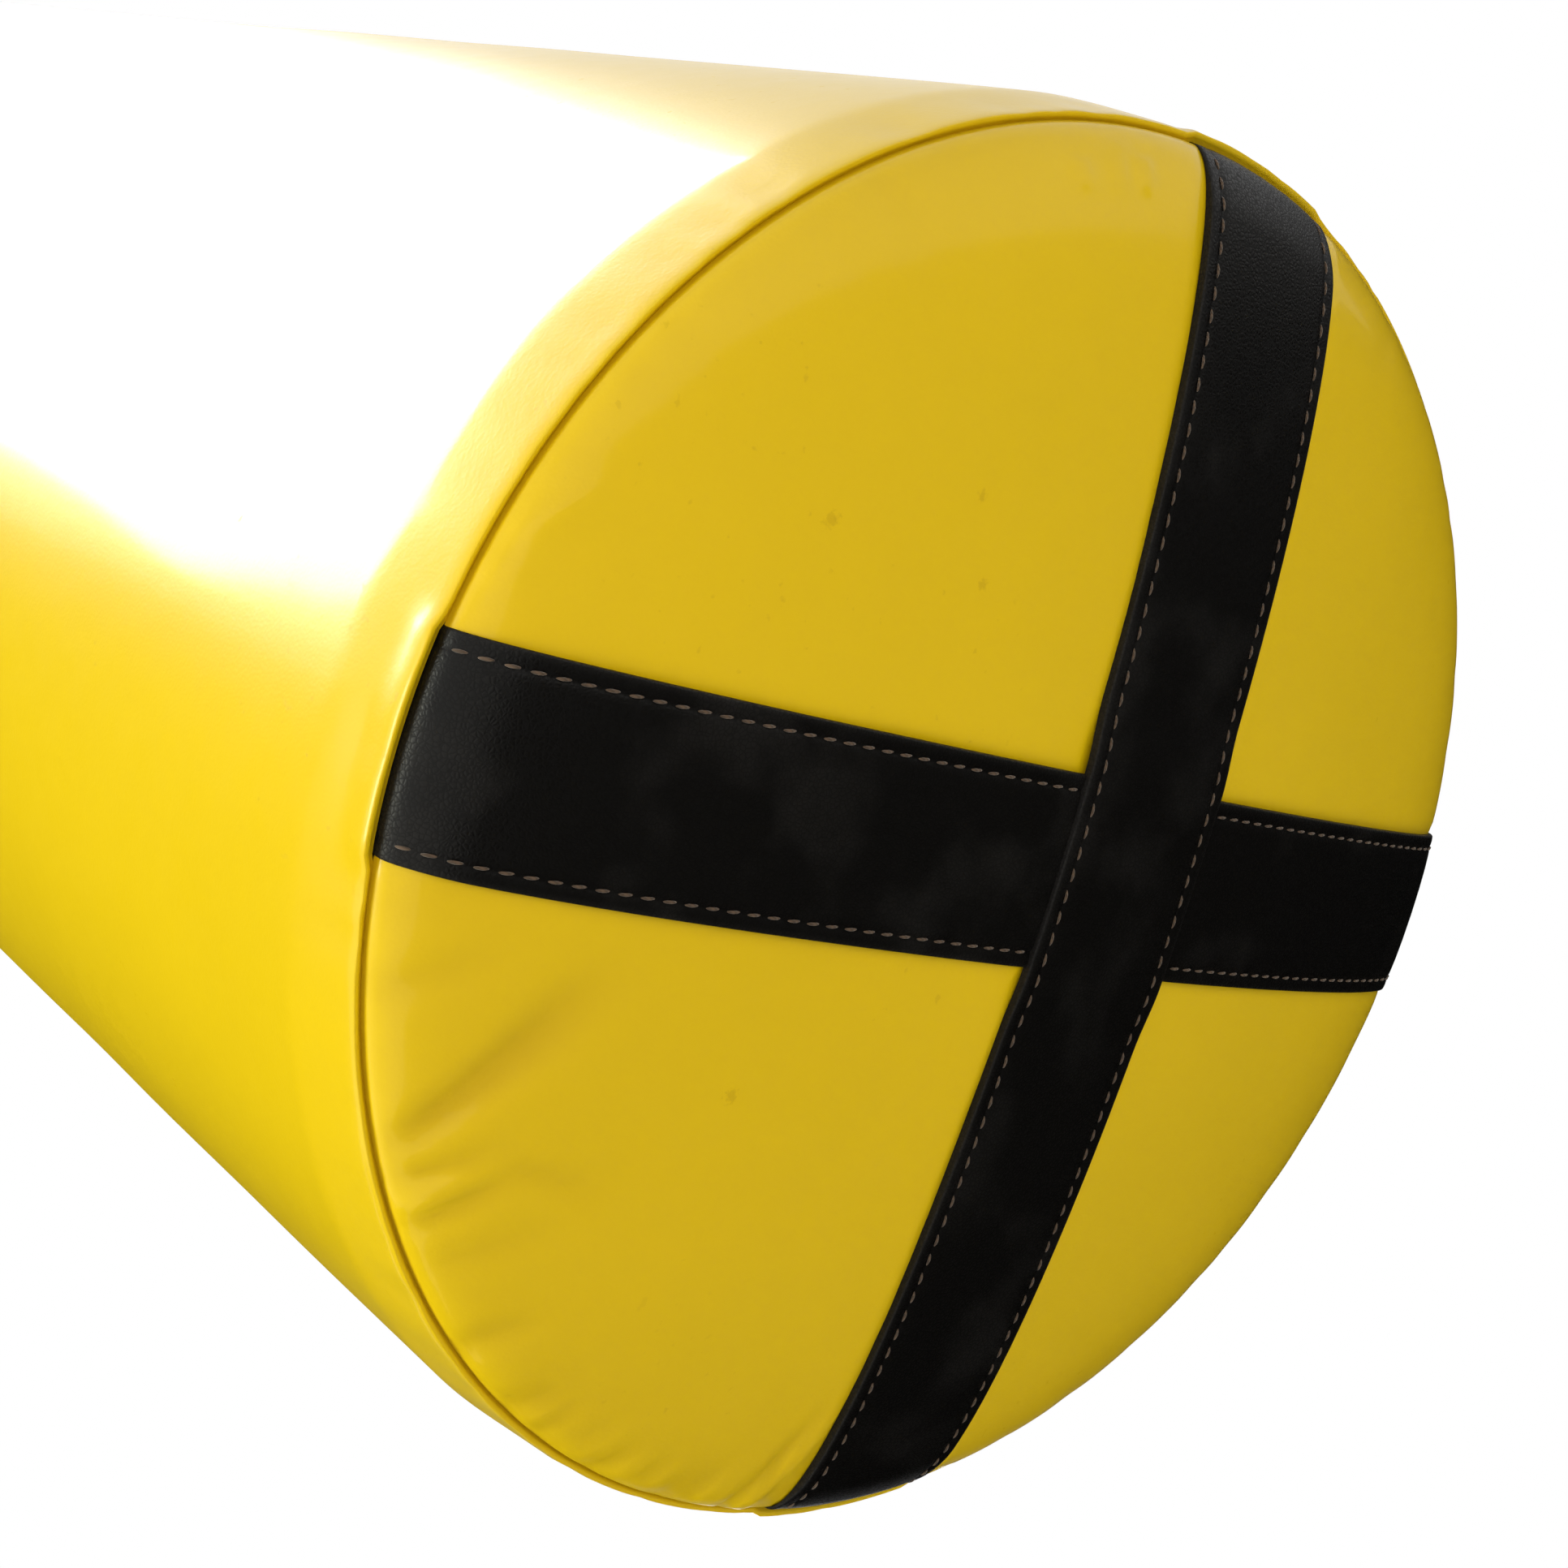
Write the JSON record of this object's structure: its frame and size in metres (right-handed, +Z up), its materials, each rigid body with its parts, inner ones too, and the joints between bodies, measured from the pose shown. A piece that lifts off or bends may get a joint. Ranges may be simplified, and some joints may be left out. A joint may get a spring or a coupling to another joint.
{
  "type": "punching bag",
  "caption": "Hanging heavy punching bag: stuffed vinyl cylinder with crossed straps on its domed bottom, a zip top, chain legs, swivel and snap hook.",
  "frame": {"origin": "inside top of the snap hook's bow, where the bag hangs on its support", "axes": "+Z up along the hanging bag's axis, +X along the zip and the strap that lies over the other, +Y along the strap that lies under"},
  "size_m": [0.3646, 0.3646, 1.6241],
  "materials": {
    "yellow_vinyl": "glossy smooth coated vinyl",
    "black_leather": "smooth satin leather with tan stitching",
    "zip_tape_fabric": "woven polyester tape",
    "zip_metal": "nickel plated, lightly worn",
    "chain_steel": "zinc plated steel",
    "rivet_steel": "nickel plated steel",
    "liner_foam": "closed-cell foam",
    "textile_fill": "packed shredded textile"
  },
  "bodies": {
    "hook": {"snap_hook": "chain_steel", "gate_pin": "chain_steel"},
    "gate": {"snap_gate": "chain_steel"},
    "eye": {"swivel_eye": "chain_steel", "swivel_nut": "chain_steel"},
    "yoke": {"swivel_yoke": "chain_steel", "swivel_washer": "chain_steel"},
    "bag": {"master_ring": "chain_steel", "chain_leg_1": "chain_steel", "chain_leg_2": "chain_steel", "chain_leg_3": "chain_steel", "chain_leg_4": "chain_steel", "d_ring_1": "chain_steel", "d_ring_2": "chain_steel", "d_ring_3": "chain_steel", "d_ring_4": "chain_steel", "hanger_strap_1": "black_leather", "hanger_strap_2": "black_leather", "hanger_strap_3": "black_leather", "hanger_strap_4": "black_leather", "rivet_1_1": "rivet_steel", "rivet_1_2": "rivet_steel", "rivet_2_1": "rivet_steel", "rivet_2_2": "rivet_steel", "rivet_3_1": "rivet_steel", "rivet_3_2": "rivet_steel", "rivet_4_1": "rivet_steel", "rivet_4_2": "rivet_steel", "top_band": "black_leather", "body_shell": "yellow_vinyl", "bottom_panel": "yellow_vinyl", "top_panel": "yellow_vinyl", "bottom_strap_under": "black_leather", "bottom_strap_over": "black_leather", "foam_liner": "liner_foam", "textile_fill": "textile_fill", "zip_tape_left": "zip_tape_fabric", "zip_tape_right": "zip_tape_fabric", "zip_teeth_left": "zip_metal", "zip_teeth_right": "zip_metal", "zip_top_stop": "zip_metal", "zip_bottom_stop": "zip_metal"},
    "slider": {"zip_slider": "zip_metal"},
    "pull": {"zip_pull": "zip_metal"}
  },
  "joints": [
    {"name": "gate_open", "type": "hinge", "parent": "hook", "child": "gate", "pos_m": [0, 0.022, -0.055], "axis": [1, 0, 0], "range_deg": [0, 30], "stiffness_Nm_per_rad": 0.05, "springref_deg": -17.19},
    {"name": "side_swing", "type": "hinge", "parent": "hook", "child": "eye", "pos_m": [0, 0, -0.085], "axis": [0, 1, 0], "range_deg": [-40, 40]},
    {"name": "swivel_spin", "type": "hinge", "parent": "eye", "child": "yoke", "pos_m": [0, 0, -0.112], "axis": [0, 0, 1], "continuous": true},
    {"name": "front_swing", "type": "hinge", "parent": "yoke", "child": "bag", "pos_m": [0, 0, -0.1376], "axis": [1, 0, 0], "range_deg": [-40, 40]},
    {"name": "zip_run", "type": "slide", "parent": "bag", "child": "slider", "axis": [-1, 0, 0], "range_m": [0, 0.25]},
    {"name": "pull_flip", "type": "hinge", "parent": "slider", "child": "pull", "pos_m": [0.125, 0, -0.47818], "axis": [0, 1, 0], "range_deg": [0, 170]}
  ]
}
